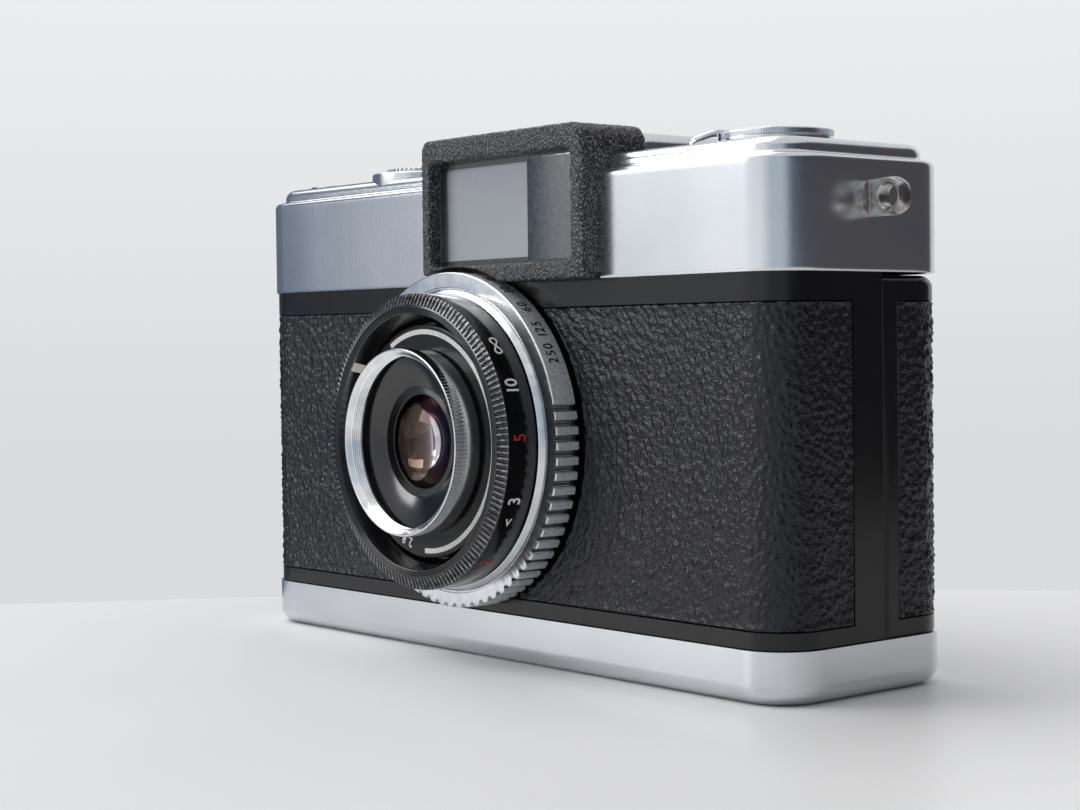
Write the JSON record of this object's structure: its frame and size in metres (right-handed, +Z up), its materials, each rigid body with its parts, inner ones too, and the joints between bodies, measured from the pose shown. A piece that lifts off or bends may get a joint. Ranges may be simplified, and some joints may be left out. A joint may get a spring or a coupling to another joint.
{
  "type": "half frame camera",
  "caption": "Compact half frame film camera: rounded metal body with black leatherette, raised finder frame, leaf shutter lens with turning rings, thumbwheel advance and slide-off back.",
  "frame": {"origin": "mouth of the tripod socket on the bottom face, straight under the lens axis", "axes": "+Z up, -Y the way the lens looks, +X to the right as seen from the front"},
  "size_m": [0.118, 0.0442, 0.069],
  "materials": {
    "black_painted_casting": "satin black stove enamel on a die casting",
    "leatherette": "pebble-grained black leatherette",
    "satin_chrome": "satin chrome plating",
    "polished_chrome": "bright chrome plating",
    "wrinkle_paint": "black wrinkle paint",
    "black_anodised": "gloss black anodised aluminium",
    "finder_glass": "clear flat glass",
    "frosted_glass": "frosted glass",
    "coated_glass": "coated lens glass",
    "mirror_glass": "silvered glass",
    "steel": "turned and ground steel",
    "blackened_steel": "blackened sheet steel",
    "brass": "cut brass",
    "black_plastic": "moulded black plastic"
  },
  "bodies": {
    "camera_body": {"body_casting": "black_painted_casting", "front_leatherette": "leatherette", "top_cover": "satin_chrome", "finder_frame": "wrinkle_paint", "finder_window": "finder_glass", "finder_diffuser": "frosted_glass", "finder_chassis": "blackened_steel", "finder_objective": "finder_glass", "beam_splitter": "mirror_glass", "frame_mirror": "mirror_glass", "eyepiece_bezel": "black_plastic", "eyepiece_lens": "finder_glass", "strap_lugs": "polished_chrome", "shutter_housing": "black_anodised", "shutter_retainer": "steel", "film_rails": "steel", "release_collar": "polished_chrome", "release_post": "steel", "counter_bezel": "satin_chrome", "release_spring": "steel"},
    "speed_ring": {"speed_ring": "polished_chrome"},
    "focus_ring": {"focus_ring": "black_anodised"},
    "lens_unit": {"front_cell": "black_anodised", "lens_barrel": "black_anodised", "rear_cell": "black_anodised", "name_ring": "black_anodised", "front_glass": "coated_glass", "middle_glass": "coated_glass", "rear_glass": "coated_glass"},
    "aperture_ring": {"filter_ring": "polished_chrome", "aperture_plate": "black_anodised"},
    "release_button": {"release_button": "polished_chrome"},
    "advance_wheel": {"advance_wheel": "satin_chrome", "advance_gear": "brass"},
    "takeup_spool": {"takeup_spool": "black_plastic", "spool_gear": "brass"},
    "film_sprocket": {"film_sprocket": "steel", "sprocket_gear": "brass"},
    "counter_dial": {"counter_dial": "satin_chrome"},
    "rewind_sleeve": {"rewind_sleeve": "steel"},
    "rewind_knob": {"rewind_knob": "polished_chrome", "rewind_shaft": "steel"},
    "rewind_crank": {"rewind_crank": "polished_chrome"},
    "rewind_button": {"rewind_button": "polished_chrome"},
    "back": {"back_shell": "black_painted_casting", "back_leatherette": "leatherette", "base_plate": "satin_chrome", "tripod_bush": "steel", "pressure_spring": "steel"},
    "pressure_plate": {"pressure_plate": "blackened_steel"},
    "lock_key": {"lock_key": "polished_chrome"},
    "lock_wing": {"lock_wing": "polished_chrome"},
    "iris_blade_1": {"iris_blade_1": "blackened_steel"},
    "iris_blade_2": {"iris_blade_2": "blackened_steel"},
    "iris_blade_3": {"iris_blade_3": "blackened_steel"},
    "iris_blade_4": {"iris_blade_4": "blackened_steel"},
    "iris_blade_5": {"iris_blade_5": "blackened_steel"},
    "shutter_blade_1": {"shutter_blade_1": "blackened_steel"},
    "shutter_blade_2": {"shutter_blade_2": "blackened_steel"},
    "shutter_blade_3": {"shutter_blade_3": "blackened_steel"}
  },
  "joints": [
    {"name": "speed_turn", "type": "hinge", "parent": "camera_body", "child": "speed_ring", "pos_m": [0, -0.0155, 0.0292], "axis": [0, -1, 0], "range_deg": [0, 62]},
    {"name": "focus_turn", "type": "hinge", "parent": "camera_body", "child": "focus_ring", "pos_m": [0, -0.0155, 0.0292], "axis": [0, 1, 0], "range_deg": [0, 300]},
    {"name": "lens_travel", "type": "slide", "parent": "camera_body", "child": "lens_unit", "axis": [0, 1, 0], "range_m": [0, 0.0016]},
    {"name": "aperture_turn", "type": "hinge", "parent": "lens_unit", "child": "aperture_ring", "pos_m": [0, -0.0155, 0.0292], "axis": [0, 1, 0], "range_deg": [0, 102]},
    {"name": "iris_swing_1", "type": "hinge", "parent": "lens_unit", "child": "iris_blade_1", "pos_m": [0.0067, -0.0188, 0.0292], "axis": [0, 1, 0], "range_deg": [0, 39.2]},
    {"name": "iris_swing_2", "type": "hinge", "parent": "lens_unit", "child": "iris_blade_2", "pos_m": [0.00207, -0.01855, 0.03557], "axis": [0, 1, 0], "range_deg": [0, 39.2]},
    {"name": "iris_swing_3", "type": "hinge", "parent": "lens_unit", "child": "iris_blade_3", "pos_m": [-0.00542, -0.0183, 0.03314], "axis": [0, 1, 0], "range_deg": [0, 39.2]},
    {"name": "iris_swing_4", "type": "hinge", "parent": "lens_unit", "child": "iris_blade_4", "pos_m": [-0.00542, -0.01805, 0.02526], "axis": [0, 1, 0], "range_deg": [0, 39.2]},
    {"name": "iris_swing_5", "type": "hinge", "parent": "lens_unit", "child": "iris_blade_5", "pos_m": [0.00207, -0.0178, 0.02283], "axis": [0, 1, 0], "range_deg": [0, 39.2]},
    {"name": "release_press", "type": "slide", "parent": "camera_body", "child": "release_button", "axis": [0, 0, -1], "range_m": [0, 0.002], "stiffness_N_per_m": 300, "springref_m": -0.001, "deforming": ["release_spring"]},
    {"name": "shutter_swing_1", "type": "hinge", "parent": "lens_unit", "child": "shutter_blade_1", "pos_m": [0.0062, -0.01605, 0.0292], "axis": [0, 1, 0], "range_deg": [0, 56]},
    {"name": "shutter_swing_2", "type": "hinge", "parent": "lens_unit", "child": "shutter_blade_2", "pos_m": [-0.0031, -0.0163, 0.03457], "axis": [0, 1, 0], "range_deg": [0, 56]},
    {"name": "shutter_swing_3", "type": "hinge", "parent": "lens_unit", "child": "shutter_blade_3", "pos_m": [-0.0031, -0.01655, 0.02383], "axis": [0, 1, 0], "range_deg": [0, 56]},
    {"name": "advance_turn", "type": "hinge", "parent": "camera_body", "child": "advance_wheel", "pos_m": [-0.02895, 0.0052, 0.056], "axis": [0, 0, 1], "continuous": true},
    {"name": "spool_turn", "type": "hinge", "parent": "camera_body", "child": "takeup_spool", "pos_m": [-0.037, -0.002, 0.03], "axis": [0, 0, 1], "continuous": true},
    {"name": "sprocket_turn", "type": "hinge", "parent": "camera_body", "child": "film_sprocket", "pos_m": [-0.01834, 0.0032, 0.03], "axis": [0, 0, 1], "continuous": true},
    {"name": "counter_turn", "type": "hinge", "parent": "camera_body", "child": "counter_dial", "pos_m": [-0.022, -0.0068, 0.066], "axis": [0, 0, 1], "continuous": true},
    {"name": "rewind_lift", "type": "slide", "parent": "camera_body", "child": "rewind_sleeve", "axis": [0, 0, 1], "range_m": [0, 0.006]},
    {"name": "rewind_turn", "type": "hinge", "parent": "rewind_sleeve", "child": "rewind_knob", "pos_m": [0.0418, -0.0008, 0.06], "axis": [0, 0, 1], "continuous": true},
    {"name": "crank_fold", "type": "hinge", "parent": "rewind_knob", "child": "rewind_crank", "pos_m": [0.04553, 0.00364, 0.06665], "axis": [-0.766, 0.6428, 0], "range_deg": [0, 180]},
    {"name": "rewind_release", "type": "slide", "parent": "camera_body", "child": "rewind_button", "axis": [0, 0, 1], "range_m": [0, 0.0012], "stiffness_N_per_m": 300, "springref_m": -0.0005},
    {"name": "back_slide", "type": "slide", "parent": "camera_body", "child": "back", "axis": [0, 0, -1], "range_m": [0, 0.05]},
    {"name": "pressure_push", "type": "slide", "parent": "back", "child": "pressure_plate", "axis": [0, 1, 0], "range_m": [0, 0.0008], "stiffness_N_per_m": 1500, "springref_m": -0.0003},
    {"name": "lock_turn", "type": "hinge", "parent": "back", "child": "lock_key", "pos_m": [-0.034, 0, 0.001], "axis": [0, 0, -1], "range_deg": [0, 90]},
    {"name": "wing_fold", "type": "hinge", "parent": "lock_key", "child": "lock_wing", "pos_m": [-0.034, 0, 0.0004], "axis": [1, 0, 0], "range_deg": [0, 90]}
  ],
  "couplings": [
    {"joint": "lens_travel", "follows": "focus_turn", "m_per_rad": 0.00029985},
    {"joint": "iris_swing_1", "follows": "aperture_turn", "ratio": 0.38431},
    {"joint": "iris_swing_2", "follows": "aperture_turn", "ratio": 0.38431},
    {"joint": "iris_swing_3", "follows": "aperture_turn", "ratio": 0.38431},
    {"joint": "iris_swing_4", "follows": "aperture_turn", "ratio": 0.38431},
    {"joint": "iris_swing_5", "follows": "aperture_turn", "ratio": 0.38431},
    {"joint": "shutter_swing_1", "follows": "release_press", "rad_per_m": 488.69},
    {"joint": "shutter_swing_2", "follows": "release_press", "rad_per_m": 488.69},
    {"joint": "shutter_swing_3", "follows": "release_press", "rad_per_m": 488.69},
    {"joint": "spool_turn", "follows": "advance_turn", "ratio": -1},
    {"joint": "sprocket_turn", "follows": "advance_turn", "ratio": -1},
    {"joint": "counter_turn", "follows": "advance_turn", "ratio": 0.027778}
  ]
}
